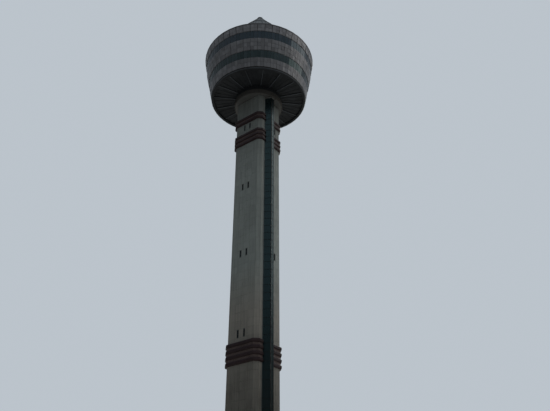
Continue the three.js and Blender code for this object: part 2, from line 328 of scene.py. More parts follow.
def pod_radius(z):
    """Corner radius of the pod's leaning wall at a height: two straight lines that meet at the upper sill."""
    return MIDDLE[1].x + (z - MIDDLE[1].z) * pod_slope(z)


def wall_points(angle, z, recess=0.0):
    """Points on the pod's flat bays: each lies on the straight line between its bay's two corners."""
    bay = 2 * np.pi / BAYS
    first = np.floor(angle / bay + 1e-6) * bay
    share = ((angle - first) / bay)[..., None]
    radius = pod_radius(z) - recess
    return polar(radius, first, z) * (1 - share) + polar(radius, first + bay, z) * share


def wall_bars(angles, low, high, width, depth, rng, recess=0.0):
    """Bars up the pod's wall at angles, from one height to another, facing as the wall does."""
    start, end = wall_points(angles, low, recess), wall_points(angles, high, recess)
    return bars(start, end, polar(1.0, angles, -pod_slope(low)), width, depth, rng)


def bay_quads(bottom, top, recess=0.0):
    """Quads over the pod's wall between two heights, with each bay cut into even parts."""
    step = 2 * np.pi / BAYS / PARTS_EACH_BAY
    first = np.arange(BAYS * PARTS_EACH_BAY) * step
    last = first + step * (1 - 1e-9)
    corners = [(first, bottom), (last, bottom), (last, top), (first, top)]
    return np.stack([wall_points(angle, z, recess) for angle, z in corners], axis=1)


def round_quads(near, far, near_z, far_z):
    """Quads round the axis, one a bay, between two outlines given by their radii at the bays' two ends."""
    near, far = (np.broadcast_to(radii, BAY_ENDS.shape) for radii in (near, far))
    return np.stack([
        polar(near[0], BAY_ENDS[0], near_z), polar(near[1], BAY_ENDS[1], near_z),
        polar(far[1], BAY_ENDS[1], far_z), polar(far[0], BAY_ENDS[0], far_z),
    ], axis=1)


def turned_to_side(shape, side):
    """A shape on the front turned by quarter turns to the right, back or left."""
    points, quads, tone = shape
    turn = side * np.pi / 2
    c, s = round(math.cos(turn)), round(math.sin(turn))
    return points @ np.array([[c, s, 0], [-s, c, 0], [0, 0, 1]], float), quads, tone


def shaft_radius(angle):
    """Distance from the axis to the shaft's outline: the nearer of a wall's line and a cut corner's."""
    across = SHAFT_HALF / np.maximum(np.abs(np.cos(angle)), np.abs(np.sin(angle)))
    return np.minimum(across, CUT_HALF / np.cos(angle % (np.pi / 2) - np.pi / 4))


def side_slits(side):
    """The columns and levels of a side's slits: one column on the front, and a pair on the other walls."""
    return ([-SLIT_PAIR, SLIT_PAIR], SLIT_LEVELS) if side else ([FRONT_SLIT_X], FRONT_SLIT_LEVELS)


def tile_rows():
    """Heights of the tile rows' edges: as many rows from each level to the next, with the slits mid-row."""
    below, above = 2 * SLIT_LEVELS[0] - SLIT_LEVELS[1], 2 * SLIT_LEVELS[-1] - SLIT_LEVELS[-2]
    knots = np.concatenate([[below], SLIT_LEVELS, [above]])
    at_knots = TILE_ROWS_EACH_LEVEL * np.arange(len(knots))
    edges = np.interp(np.arange(at_knots[-1]) + 0.5, at_knots, knots)
    return neighbours(np.concatenate([[0.0], edges[(edges > 0) & (edges < SHAFT_TOP)], [SHAFT_TOP]]))


def front_quads(columns, rows, y):
    """Upright quads facing -Y for every pair of column and row."""
    xs = np.asarray(columns, float)[:, None, [0, 1, 1, 0]]
    zs = np.asarray(rows, float)[None, :, [0, 0, 1, 1]]
    return np.stack(np.broadcast_arrays(xs, y, zs), axis=-1).reshape(-1, 4, 3)


def upright_quads(start, end, rows):
    """Upright quads on a straight line in plan from start to end, one above the other in rows."""
    (x0, y0), (x1, y1) = start, end
    zs = rows[:, [0, 0, 1, 1]]
    xs, ys = (np.broadcast_to(values, zs.shape) for values in ([x0, x1, x1, x0], [y0, y1, y1, y0]))
    return np.stack([xs, ys, zs], axis=-1)


def tiled_wall(edges, slits, levels, reveal):
    """Quads for a wall's tiles, with the columns at each slit cut back from its sides on slit rows."""
    rows = tile_rows()
    middles = rows.mean(axis=1)
    at_slit = np.abs(middles[:, None] - levels[None]).min(axis=1) < SLIT_HEIGHT / 4
    whole = neighbours(edges)
    beside = []
    for left, right in whole:
        inside = [x for x in slits if left < x < right]
        cuts = [left] + [x + s * (SLIT_WIDTH / 2 + reveal) for x in inside for s in (-1, 1)] + [right]
        beside += list(zip(cuts[0::2], cuts[1::2]))
    return np.concatenate([
        front_quads(whole, rows[~at_slit], -SHAFT_HALF),
        front_quads(beside, rows[at_slit], -SHAFT_HALF),
    ])


def at_door(quads):
    """Which quads of a wall, seen from outside as if on the front, reach over the service door."""
    low, high = quads.min(axis=1), quads.max(axis=1)
    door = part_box("service_door")
    return (high[:, 0] > door[0].x) & (low[:, 0] < door[1].x) & (low[:, 2] < door[1].z)


# Materials

FINISHES = {}
GROUPS = {}
GRAINS = {
    "fine": {"Fine Scale": 500.0, "Coarse Scale": 20.0},
    "rough": {"Fine Scale": 180.0, "Coarse Scale": 9.0, "Coarse Share": 0.5},
    "smooth": {"Fine Scale": 60.0, "Coarse Scale": 6.0, "Coarse Share": 0.8},
}
# Soot, which is also the colour that the walls' painted shade darkens towards
SOOT_AND_SHADE = (0.10, 0.09, 0.08)
METAL_DIRT = (0.12, 0.11, 0.10)
FRAME_DIRT = (0.02, 0.02, 0.02)
LIFT_DIRT = (0.03, 0.035, 0.035)
GLASS_BUMP = 0.03
BUMP_DISTANCE = 0.002
STREAK_STRETCH = (1.0, 1.0, 0.04)
STREAK_RANGE = (0.48, 0.75)
BLOTCH_RANGE = (0.45, 0.7)


def new_group(name, inputs, outputs):
    """A shader node group with its inputs and outputs made, and the nodes at its two ends.

    An input given as a tuple is a colour, and one given as a number is a plain value.
    """
    group = bpy.data.node_groups.new(name, "ShaderNodeTree")
    for label, value in inputs.items():
        kind = "NodeSocketColor" if isinstance(value, tuple) else "NodeSocketFloat"
        group.interface.new_socket(label, in_out="INPUT", socket_type=kind).default_value = value
    for label, kind in outputs.items():
        group.interface.new_socket(label, in_out="OUTPUT", socket_type=kind)
    return group, group.nodes.new("NodeGroupInput"), group.nodes.new("NodeGroupOutput")


def node(tree, kind, links=(), **settings):
    """A node with its settings made and its inputs joined to sockets or set to values."""
    made = tree.nodes.new(kind)
    for key, value in settings.items():
        setattr(made, key, value)
    for socket, source in links:
        if isinstance(source, bpy.types.NodeSocket):
            tree.links.new(source, made.inputs[socket])
        else:
            made.inputs[socket].default_value = source
    return made


def math_node(tree, operation, first, second):
    """Two numbers put together by a Math node."""
    return node(tree, "ShaderNodeMath", [(0, first), (1, second)], operation=operation).outputs[0]


def mix_colours(tree, blend, factor, first, second):
    """Two colours mixed by a blend type and a factor."""
    links = [(0, factor), (6, first), (7, second)]
    return node(tree, "ShaderNodeMix", links, data_type="RGBA", blend_type=blend).outputs[2]


def ramp(tree, value, start, end, low=0.0, high=1.0):
    """A value mapped in a straight line: low up to the start and high from the end on."""
    return node(tree, "ShaderNodeMapRange", [
        ("Value", value), ("From Min", start), ("From Max", end), ("To Min", low), ("To Max", high),
    ]).outputs[0]


def noise(tree, place, scale, detail=2.0):
    """Soft noise from 0 to 1 over a place."""
    links = [("Vector", place), ("Scale", scale), ("Detail", detail)]
    return node(tree, "ShaderNodeTexNoise", links).outputs[0]


def make_weather_group():
    """Weathering and painted light: piece-to-piece tone, rain streaks that run down, soft blotches, and
    painted shade at foot and top.

    The painted shade thins upwards from the foot, and gathers again under the pod. The streaks, blotches and
    painted shade all mix the colour towards the dark colour given for stains and painted shade, and add to
    the roughness. A warm tint, which is painted bounce light, multiplies the colour of the lower part alone.
    """
    group, start, end = new_group("Weathering And Painted Light", {
        "Color": (0.5, 0.5, 0.5, 1), "Stain Color": (0.1, 0.09, 0.08, 1), "Bounce Light Tint": (1, 1, 1, 1),
        "Tone Spread": 0.1, "Streaks": 0.3, "Streak Density": 40.0, "Blotches": 0.2, "Lower Stain": 0.0,
        "Upper Stain": 0.0, "Roughness": 0.5, "Stain Roughness": 0.25,
    }, {"Color": "NodeSocketColor", "Roughness": "NodeSocketFloat"})
    inputs = start.outputs
    tone = node(group, "ShaderNodeAttribute", attribute_name="tone").outputs["Fac"]
    centred = math_node(group, "SUBTRACT", tone, 0.5)
    gain = math_node(group, "ADD", math_node(group, "MULTIPLY", centred, inputs["Tone Spread"]), 1.0)
    toned = node(group, "ShaderNodeVectorMath", [(0, inputs["Color"]), ("Scale", gain)], operation="SCALE")
    place = node(group, "ShaderNodeTexCoord").outputs["Object"]
    drawn_out = node(group, "ShaderNodeMapping", [("Vector", place), ("Scale", STREAK_STRETCH)]).outputs[0]
    height = node(group, "ShaderNodeSeparateXYZ", [(0, place)]).outputs["Z"]
    masks = {
        "Streaks": ramp(group, noise(group, drawn_out, inputs["Streak Density"], 4.0), *STREAK_RANGE),
        "Blotches": ramp(group, noise(group, place, 3.0, 5.0), *BLOTCH_RANGE),
        # Painted shade: darker towards the foot, and darker again under the pod
        "Lower Stain": ramp(group, height, *LOWER_SHADE_HEIGHTS),
        "Upper Stain": ramp(group, height, *UPPER_SHADE_HEIGHTS),
    }
    stain = 0.0
    for label, mask in masks.items():
        stain = math_node(group, "ADD", math_node(group, "MULTIPLY", mask, inputs[label]), stain)
    capped = math_node(group, "MINIMUM", stain, 1.0)
    # Painted warm bounce light: the lower part's colour multiplied by a warm tint
    bounce_light_mask = ramp(group, height, *BOUNCE_LIGHT_HEIGHTS)
    tinted = mix_colours(group, "MULTIPLY", bounce_light_mask, toned.outputs[0], inputs["Bounce Light Tint"])
    group.links.new(mix_colours(group, "MIX", capped, tinted, inputs["Stain Color"]), end.inputs["Color"])
    roughened = math_node(group, "MULTIPLY", capped, inputs["Stain Roughness"])
    group.links.new(math_node(group, "ADD", roughened, inputs["Roughness"]), end.inputs["Roughness"])
    return group


def make_grain_group():
    """Grain: a fine and a coarse noise added as one height from 0 to 1."""
    group, start, end = new_group("Grain", {
        "Fine Scale": 300.0, "Coarse Scale": 12.0, "Coarse Share": 0.4,
    }, {"Height": "NodeSocketFloat"})
    place = node(group, "ShaderNodeTexCoord").outputs["Object"]
    fine, coarse = (noise(group, place, start.outputs[label]) for label in ("Fine Scale", "Coarse Scale"))
    height = node(group, "ShaderNodeMix", [(0, start.outputs["Coarse Share"]), (2, fine), (3, coarse)])
    group.links.new(height.outputs[0], end.inputs["Height"])
    return group


def group_node(tree, group, values):
    """A group placed in a material, with its own values."""
    made = tree.nodes.new("ShaderNodeGroup")
    made.node_tree = group
    for label, value in values.items():
        made.inputs[label].default_value = value
    return made


def make_finish(
    name, base, roughness, stain=SOOT_AND_SHADE, metallic=0.0, grain="smooth", bump=0.2, gloss=None, **weather,
):
    """A painted, tiled, concrete or glass finish: weathering and painted light colour and roughen it, and
    grain bumps it.

    The gloss sets sockets of the shader that are the same all over. The other names are inputs of the
    weathering and painted light group, such as tone_spread for its Tone Spread.
    """
    material = bpy.data.materials.new(name)
    material.use_nodes = True
    tree = material.node_tree
    shader = tree.nodes["Principled BSDF"]
    for label, value in {"Metallic": metallic, **(gloss or {})}.items():
        shader.inputs[label].default_value = value
    weathering = group_node(tree, GROUPS["weather"], {
        "Color": (*base, 1), "Stain Color": (*stain, 1), "Roughness": roughness,
        **{key.replace("_", " ").title(): value for key, value in weather.items()},
    })
    tree.links.new(weathering.outputs["Color"], shader.inputs["Base Color"])
    tree.links.new(weathering.outputs["Roughness"], shader.inputs["Roughness"])
    height = group_node(tree, GROUPS["grain"], GRAINS[grain]).outputs["Height"]
    links = [("Strength", bump), ("Distance", BUMP_DISTANCE), ("Height", height)]
    tree.links.new(node(tree, "ShaderNodeBump", links).outputs[0], shader.inputs["Normal"])
    FINISHES[name] = material


def shade(base, gain):
    """A colour made lighter or darker by a factor."""
    return [gain * value for value in base]


def make_finishes(colours):
    """All the finishes, named for what they are on, from a table with a row for each."""
    GROUPS["weather"] = make_weather_group()
    GROUPS["grain"] = make_grain_group()
    columns = ("roughness", "tone_spread", "streaks", "streak_density", "blotches")
    panel = {"stain": METAL_DIRT, "metallic": 0.12, "bump": 0.25, "gloss": {"Specular IOR Level": 0.3}}

    def glass(stain, index, tint=None, **others):
        """What differs on glass: a faint bump, its index, and a tinted reflection where it has one."""
        tinted = {"Transmission Weight": 0.1, "Specular Tint": tint} if tint else {}
        return {"stain": stain, "bump": GLASS_BUMP, "gloss": {"IOR": index, **tinted}, **others}

    finishes = [
        # On the wall tile: painted warm bounce light low down, and painted shade at the foot and under the
        # pod
        ("wall_tile", colours.tile, 0.5, 0.1, 0.22, 45.0, 0.12, {
            "grain": "fine", "bump": 0.15, "bounce_light_tint": (1.0, 0.865, 0.81, 1), "lower_stain": 0.55,
            "upper_stain": 0.55}),
        ("tile_joint", shade(colours.tile, 0.55), 0.85, 0.1, 0.4, 40.0, 0.3, {"grain": "rough"}),
        ("concrete", colours.concrete, 0.85, 0.1, 0.3, 25.0, 0.35, {"grain": "rough", "bump": 0.4}),
        ("band_rib", colours.rib, 0.5, 0.2, 0.3, 60.0, 0.25, {
            "grain": "fine", "stain": (0.02, 0.012, 0.01)}),
        ("band_recess", colours.recess, 0.7, 0.1, 0.45, 60.0, 0.3, {
            "grain": "rough", "stain": (0.05, 0.03, 0.028)}),
        ("drum_paint", colours.drum, 0.55, 0.12, 0.3, 30.0, 0.25, {"gloss": {"Specular IOR Level": 0.1}}),
        ("drum_underside_paint", colours.drum_underside, 0.6, 0.12, 0.1, 40.0, 0.3, {}),
        ("soffit_paint", colours.soffit, 0.65, 0.35, 0.1, 40.0, 0.4, {"stain": (0.015, 0.013, 0.012)}),
        ("soffit_rib_paint", shade(colours.soffit, 2.9), 0.55, 0.2, 0.1, 40.0, 0.3, {
            "stain": (0.03, 0.027, 0.025)}),
        ("pod_panel", colours.panel, 0.3, 0.45, 0.25, 22.0, 0.15, panel),
        ("pod_parapet_panel", shade(colours.panel, 1.2), 0.3, 0.45, 0.25, 22.0, 0.15, panel),
        ("pod_coping", shade(colours.panel, 0.65), 0.3, 0.45, 0.25, 22.0, 0.15, panel),
        ("panel_joint", colours.panel_joint, 0.8, 0.1, 0.3, 40.0, 0.4, {
            "grain": "rough", "stain": FRAME_DIRT}),
        ("pod_lower_pane", colours.pane, 0.06, 1.2, 0.12, 30.0, 0.05,
         glass((0.04, 0.045, 0.04), 1.62, (0.54, 0.84, 0.82, 1))),
        ("pod_upper_pane", colours.pane, 0.06, 1.2, 0.12, 30.0, 0.05,
         glass((0.04, 0.045, 0.04), 1.62, (0.54, 0.78, 0.92, 1))),
        ("slit_glass", shade(colours.pane, 0.5), 0.2, 0.5, 0.1, 40.0, 0.1, glass((0.01, 0.01, 0.01), 1.45)),
        # On the lift glass: a painted dark reflection, darker towards the foot
        ("lift_glass", colours.lift_pane, 0.22, 0.5, 0.15, 50.0, 0.05,
         glass((0.012, 0.009, 0.006), 1.59, (0.6, 0.95, 1.0, 1), lower_stain=0.8)),
        ("frame_paint", colours.frame, 0.4, 0.2, 0.25, 40.0, 0.15, {"stain": FRAME_DIRT, "metallic": 0.4}),
        ("lift_frame_paint", colours.lift_frame, 0.45, 0.2, 0.25, 40.0, 0.15, {
            "stain": LIFT_DIRT, "metallic": 0.3}),
        ("lift_post_enamel", colours.lift_post, 0.2, 0.2, 0.15, 40.0, 0.1, {
            "stain": LIFT_DIRT, "bump": GLASS_BUMP,
            "gloss": {"IOR": 2.42, "Specular Tint": (0.82, 1.0, 1.0, 1)}}),
        ("roof_metal", colours.roof, 0.38, 0.2, 0.35, 18.0, 0.2, {
            "stain": METAL_DIRT, "metallic": 0.5, "bump": 0.3}),
        ("roof_seam", shade(colours.roof, 0.35), 0.45, 0.3, 0.2, 40.0, 0.2, {"metallic": 0.3}),
        ("door_paint", colours.door, 0.45, 0.15, 0.35, 40.0, 0.2, {
            "stain": (0.04, 0.035, 0.03), "metallic": 0.2}),
    ]
    for name, base, *values, others in finishes:
        make_finish(name, base, **dict(zip(columns, values)), **others)


# Settings a user would change

def length(name, description, default):
    """A length property, in metres on the model."""
    return FloatProperty(name=name, description=description, default=default, min=0.0, unit="LENGTH")


def colour(name, description, default):
    """A colour property."""
    return FloatVectorProperty(
        name=name, description=description, default=default, size=3, subtype="COLOR", min=0.0, max=1.0)


class TowerSizes(bpy.types.PropertyGroup):
    """Sizes of the pieces, on the 1:10 model."""

    tile_depth: length("Tile Depth", "How far a wall tile stands out", 0.003)
    tile_joint: length("Tile Joint", "Width of the joint between wall tiles", 0.002)
    tile_bevel: length("Tile Bevel", "Cut edge of a wall tile", 0.0008)
    slit_frame: length("Slit Frame", "Width of a slit window's frame", 0.002)
    slit_recess: length("Slit Recess", "How far a slit window's pane is set back from the wall", 0.006)
    rib_reach: length("Rib Reach", "How far a band's rib stands out", 0.032)
    recess_reach: length("Recess Reach", "How far the band behind the ribs stands out", 0.016)
    panel_depth: length("Panel Depth", "How far a pod panel stands out", 0.004)
    panel_joint: length("Panel Joint", "Width of the joint between pod panels", 0.002)
    pane_depth: length("Pane Depth", "Thickness of a pane of glass", 0.006)
    pane_recess: length("Pane Recess", "How far the pod's panes are set back from its wall", 0.004)
    mullion_width: length("Mullion Width", "Width of a window's upright bar", 0.006)
    mullion_depth: length("Mullion Depth", "How far a window's upright bar stands out", 0.004)
    seam_width: length("Seam Width", "Width of a standing seam on the roof", 0.005)
    ridge_width: length("Ridge Width", "Width of the roof's main ridges", 0.014)
    seam_height: length("Seam Height", "Height of a standing seam on the roof", 0.006)
    lift_head: length("Lift Head", "Height of the lintel over the lift bay's glass", 0.026)
    strip_width: length("Strip Width", "Width of the dark strip between two bays of the pod", 0.0055)
    lift_rows: IntProperty(name="Lift Rows", description="Rows of glass up the lift bay", default=60, min=1)
    pane_tilt: length("Pane Tilt", "Uneven set of the panes, as a corner's shift", 0.0004)
    panel_tilt: length("Panel Tilt", "Uneven set of the pod panels, as a corner's shift", 0.0009)


class TowerColours(bpy.types.PropertyGroup):
    """Base colours of the finishes."""

    tile: colour("Wall Tile", "Pale off-white wall tile", (0.59, 0.63, 0.605))
    concrete: colour("Concrete", "Grey concrete", (0.34, 0.33, 0.31))
    rib: colour("Band Rib", "Dark red-brown rib", (0.058, 0.027, 0.030))
    recess: colour("Band Recess", "Paler brown strip between ribs", (0.22, 0.155, 0.145))
    drum: colour("Drum", "Brown-beige side of the drum", (0.125, 0.115, 0.107))
    drum_underside: colour("Drum Underside", "Grey-beige underside of the drum", (0.20, 0.193, 0.186))
    soffit: colour("Soffit", "Dark grey soffit", (0.036, 0.039, 0.045))
    panel: colour("Pod Panel", "Silver-grey metal panel", (0.345, 0.335, 0.354))
    panel_joint: colour("Panel Joint", "Dark strip between pod panels", (0.06, 0.058, 0.055))
    pane: colour("Pod Glass", "Dark green-blue glass", (0.040, 0.038, 0.048))
    lift_pane: colour("Lift Glass", "Dark teal glass", (0.012, 0.024, 0.026))
    frame: colour("Frames", "Dark grey-green frame paint", (0.03, 0.036, 0.036))
    lift_frame: colour("Lift Frame", "Grey-green of the lift bay's jambs", (0.16, 0.185, 0.19))
    lift_post: colour("Lift Post", "Dark enamel of the lift bay's right post", (0.012, 0.018, 0.018))
    roof: colour("Roof Metal", "Pale grey roof metal", (0.24, 0.255, 0.26))
    door: colour("Door", "Grey painted door", (0.10, 0.12, 0.13))


# Operators

class TOWER_OT_wall_tiles(bpy.types.Operator):
    """Tile the shaft's four walls and four cut corners"""

    bl_idname = "tower.wall_tiles"
    bl_label = "Wall Tiles"

    def execute(self, context):
        sizes = context.scene.tower_sizes
        rng = np.random.default_rng(11)

        def tile(name, quads, side):
            """A piece of tiles on a wall's quads, turned to its side of the shaft."""
            shape = plates(quads, sizes.tile_depth, sizes.tile_joint, sizes.tile_bevel, rng)
            make_piece(name, [turned_to_side(shape, side)], "wall_tile")

        paired = [-FACE_HALF, -FACE_HALF / 2, 0.0, FACE_HALF / 2, FACE_HALF]
        sides = [
            ("front_right_tiles", 0, [BAY_RIGHT, *FRONT_TILE_JOINTS, FACE_HALF]),
            ("front_left_tiles", 0, [-FACE_HALF, BAY_LEFT]),
            ("right_tiles", 1, paired), ("back_tiles", 2, paired), ("left_tiles", 3, paired),
        ]
        for name, side, edges in sides:
            quads = tiled_wall(edges, *side_slits(side), sizes.slit_frame)
            tile(name, quads[~at_door(quads)] if name == "back_tiles" else quads, side)
        for corner in range(4):
            start, end = SHAFT_PLAN[2 * corner + 1], SHAFT_PLAN[(2 * corner + 2) % 8]
            tile(f"corner_tiles_{corner + 1}", upright_quads(start, end, tile_rows()), 0)
        return {"FINISHED"}


class TOWER_OT_slit_windows(bpy.types.Operator):
    """Set a framed pane in every slit of the shaft"""

    bl_idname = "tower.slit_windows"
    bl_label = "Slit Windows"

    def execute(self, context):
        sizes = context.scene.tower_sizes
        rng = np.random.default_rng(12)
        half_w, half_h, width = SLIT_WIDTH / 2, SLIT_HEIGHT / 2, sizes.slit_frame
        past_tiles = sizes.slit_recess + sizes.tile_depth + 0.002
        past_frame = past_tiles + 0.004
        transom_depth, pane_depth, pane_bevel = 0.004, 0.003, 0.0005
        frames, panes = [], []
        for side in range(4):
            x, z = (grid.ravel() for grid in np.meshgrid(*side_slits(side)))
            y = np.full(x.shape, -SHAFT_HALF + sizes.slit_recess)
            outward = np.tile([0.0, -1.0, 0.0], (len(x), 1))
            runs = [
                ((-half_w, -half_h), (-half_w, half_h), past_tiles),
                ((half_w, -half_h), (half_w, half_h), past_tiles),
                ((-half_w - width / 2, half_h), (half_w + width / 2, half_h), past_tiles),
                ((-half_w - width, -half_h), (half_w + width, -half_h), past_frame),
                ((-half_w, 0), (half_w, 0), transom_depth),
            ]
            for start, end, depth in runs:
                start, end = (np.stack([x + dx, y, z + dz], axis=-1) for dx, dz in (start, end))
                frames.append(turned_to_side(bars(start, end, outward, width, depth, rng), side))
            quads = front_quads([(-half_w, half_w)], [(-half_h, half_h)], 0.0)
            quads = quads + np.stack([x, y + pane_depth, z], axis=-1)[:, None]
            pane = plates(quads, pane_depth, 0.0, pane_bevel, rng, tilt=sizes.pane_tilt)
            panes.append(turned_to_side(pane, side))
        make_piece("slit_frames", frames, "lift_frame_paint")
        make_piece("slit_panes", panes, "slit_glass")
        return {"FINISHED"}


class TOWER_OT_bands(bpy.types.Operator):
    """Wrap the three bands of rounded ribs round the shaft"""

    bl_idname = "tower.bands"
    bl_label = "Ribbed Bands"

    def execute(self, context):
        sizes = context.scene.tower_sizes
        path = [(BAND_START_X, -SHAFT_HALF), *SHAFT_PLAN[1:], SHAFT_PLAN[0], (BAND_END_X, -SHAFT_HALF)]
        arc = np.linspace(-np.pi / 2, np.pi / 2, 8)
        round_over = 0.35 * RIB_HEIGHT
        reach = sizes.rib_reach - round_over + round_over * np.cos(arc)
        rise = RIB_HEIGHT / 2 + (RIB_HEIGHT / 2 - round_over) * np.sign(arc) + round_over * np.sin(arc)
        section = np.concatenate([[[0.0, 0.0]], np.stack([reach, rise], axis=-1), [[0.0, RIB_HEIGHT]]])
        margin = 0.002
        for name, ribs in BAND_RIBS.items():
            low, high = heights(name)
            shapes = [plan_sweep(path, section + [0.0, low + rib * RIB_PITCH]) for rib in range(ribs)]
            make_piece(f"{name}_ribs", shapes, "band_rib", replaces=[name])
            back = plan_sweep(path, rectangle(0, sizes.recess_reach, low + margin, high - margin))
            make_piece(f"{name}_recess", [back], "band_recess")
        return {"FINISHED"}


class TOWER_OT_lift_bay(bpy.types.Operator):
    """Glaze the lift bay in rows of panes with transoms, posts and jambs"""

    bl_idname = "tower.lift_bay"
    bl_label = "Lift Bay"

    def execute(self, context):
        sizes = context.scene.tower_sizes
        rng = np.random.default_rng(13)
        middle = (BAY_LEFT + BAY_RIGHT) / 2
        plan = np.array([
            (BAY_LEFT, -SHAFT_HALF), (middle - BAY_FRONT_HALF, BAY_FRONT),
            (middle + BAY_FRONT_HALF, BAY_FRONT), (BAY_RIGHT, -SHAFT_HALF),
        ])
        edges = np.linspace(LIFT_SILL, SHAFT_TOP, sizes.lift_rows + 1)
        setback, pane_joint, pane_bevel = 0.008, 0.004, 0.0006
        panes = []
        for start, end in neighbours(plan):
            along = unit(end - start)
            inwards = np.array([-along[1], along[0]]) * setback
            quads = upright_quads(start + inwards, end + inwards, neighbours(edges))
            tilt = 0.25 * sizes.pane_tilt
            panes.append(plates(quads, sizes.pane_depth, pane_joint, pane_bevel, rng, tilt=tilt))
        make_piece("lift_panes", panes, "lift_glass",
                   replaces=["lift_glass_left", "lift_glass_front", "lift_glass_right"])
        half, proud, sill_proud, sill_height = 0.0025, 0.001, 0.003, 0.012
        sections = [rectangle(-setback, proud, z - half, z + half) for z in edges[1:-1]]
        sections.append(rectangle(-setback, sill_proud, LIFT_SILL, LIFT_SILL + sill_height))
        transoms = [plan_sweep(plan, section) for section in sections]
        make_piece("lift_transoms", transoms, "frame_paint")
        low, high = SHAFT_TOP - sizes.lift_head, SHAFT_TOP
        head = plan_sweep(plan, [
            (-setback, low), (0.004, low), (0.009, low + 0.005), (0.009, high),
            (-setback, high), (-setback, (low + high) / 2),
        ])
        make_piece("lift_head", [head], "drum_underside_paint")

        def uprights(corners, lean, width, depth):
            """Bars up the whole glass at plan corners, facing the front with a sideways lean."""
            foot = np.array([(x, y, LIFT_SILL) for x, y in corners])
            outward = np.tile([lean, -1.0, 0.0], (len(foot), 1))
            return [bars(foot, foot + [0, 0, SHAFT_TOP - LIFT_SILL], outward, width, depth, rng)]

        make_piece("lift_jambs", uprights(plan[[0, 3]], 0.0, 0.01, 0.008), "lift_frame_paint")
        width, depth = 0.007, 0.008
        left, right = plan[1:3] + [0.0, depth - 0.002]
        make_piece("lift_left_post", uprights([left], -0.5, width, depth), "frame_paint")
        make_piece("lift_right_post", uprights([right], 0.0, width, depth), "lift_post_enamel")
        return {"FINISHED"}


class TOWER_OT_drum(bpy.types.Operator):
    """Panel the drum under the pod and line its neck with a dark ring of painted shade"""

    bl_idname = "tower.drum"
    bl_label = "Drum"

    def execute(self, context):
        rng = np.random.default_rng(14)
        radius, margin = DRUM[1].x, 0.008
        side_depth, under_depth, joint, bevel = 0.003, 0.002, 0.002, 0.0008
        quads = round_quads(radius, radius, SHAFT_TOP + margin, DRUM_SIDE_TOP - 0.004)
        side = plates(quads, side_depth, joint, bevel, rng)
        under = round_quads(shaft_radius(BAY_ENDS) + margin, radius - margin, SHAFT_TOP, SHAFT_TOP)[:, ::-1]
        centre = under.mean(axis=1)
        at_bay = (centre[:, 1] < -SHAFT_HALF) & (centre[:, 0] > BAY_LEFT) & (centre[:, 0] < BAY_RIGHT)
        below = plates(under[~at_bay], under_depth, joint, bevel, rng)
        make_piece("drum_side_panels", [side], "drum_paint")
        make_piece("drum_underside_panels", [below], "drum_underside_paint")
        lip = ring([
            (-0.006, -0.003), (0.003, -0.003), (0.006, 0), (0.006, 0.006), (0, 0.009), (-0.006, 0.009),
        ], radius, SHAFT_TOP)
        top = ring([
            (-0.012, -0.004), (0.005, -0.004), (0.005, 0.002), (-0.012, 0.004),
        ], radius, DRUM_SIDE_TOP)
        make_piece("drum_lips", [lip, top], "drum_paint")
        # A dark ring round the drum's neck: painted shade under the soffit
        neck_shade = ring(rectangle(
            DRUM_NECK_RADIUS - 0.004, DRUM_NECK_RADIUS + 0.002, DRUM_SIDE_TOP + 0.002, SOFFIT_Z))
        make_piece("drum_neck_painted_shade", [neck_shade], "soffit_paint")
        return {"FINISHED"}


class TOWER_OT_soffit(bpy.types.Operator):
    """Line the soffit with dark panels, thin ribs between the main ones, and an edge ring"""

    bl_idname = "tower.soffit"
    bl_label = "Soffit"

    def execute(self, context):
        rng = np.random.default_rng(15)
        edge_z = RIM[0].z
        inner, outer = SOFFIT_INNER, pod_radius(edge_z) - SOFFIT_SETBACK
        depth, joint, bevel = 0.003, 0.003, 0.001
        panels = []
        for near, far in neighbours(np.linspace(inner, outer, 4)):
            quads = round_quads(near, far, SOFFIT_Z, SOFFIT_Z)[:, ::-1]
            panels.append(plates(quads, depth, joint, bevel, rng))
        make_piece("soffit_panels", panels, "soffit_paint")
        main = np.arange(BAYS) % (BAYS // SOFFIT_RIBS) == 0
        # Angles, height, width and depth
        spoke_rows = [
            (BAY_ANGLES[~main], SOFFIT_Z, 0.006, 0.006),
            (BAY_ANGLES[main], SOFFIT_Z - SOFFIT_RIB_DEPTH + SINK, 0.016, 0.004),
        ]
        battens, caps = (
            spokes(angles, (inner, z), (outer, z), (0.0, -1.0), width, depth, rng)
            for angles, z, width, depth in spoke_rows
        )
        make_piece("soffit_battens", [battens], "soffit_paint")
        make_piece("soffit_ribs", [caps], "soffit_rib_paint")
        rim, drop = pod_radius(edge_z) - 0.004, 0.004
        edge = ring([
            (outer - 0.006, edge_z - drop), (rim, edge_z - drop), (rim, edge_z),
            (outer + 0.004, edge_z), (outer + 0.004, SOFFIT_Z), (outer - 0.006, SOFFIT_Z),
        ])
        make_piece("soffit_edge", [edge], "soffit_paint")
        return {"FINISHED"}


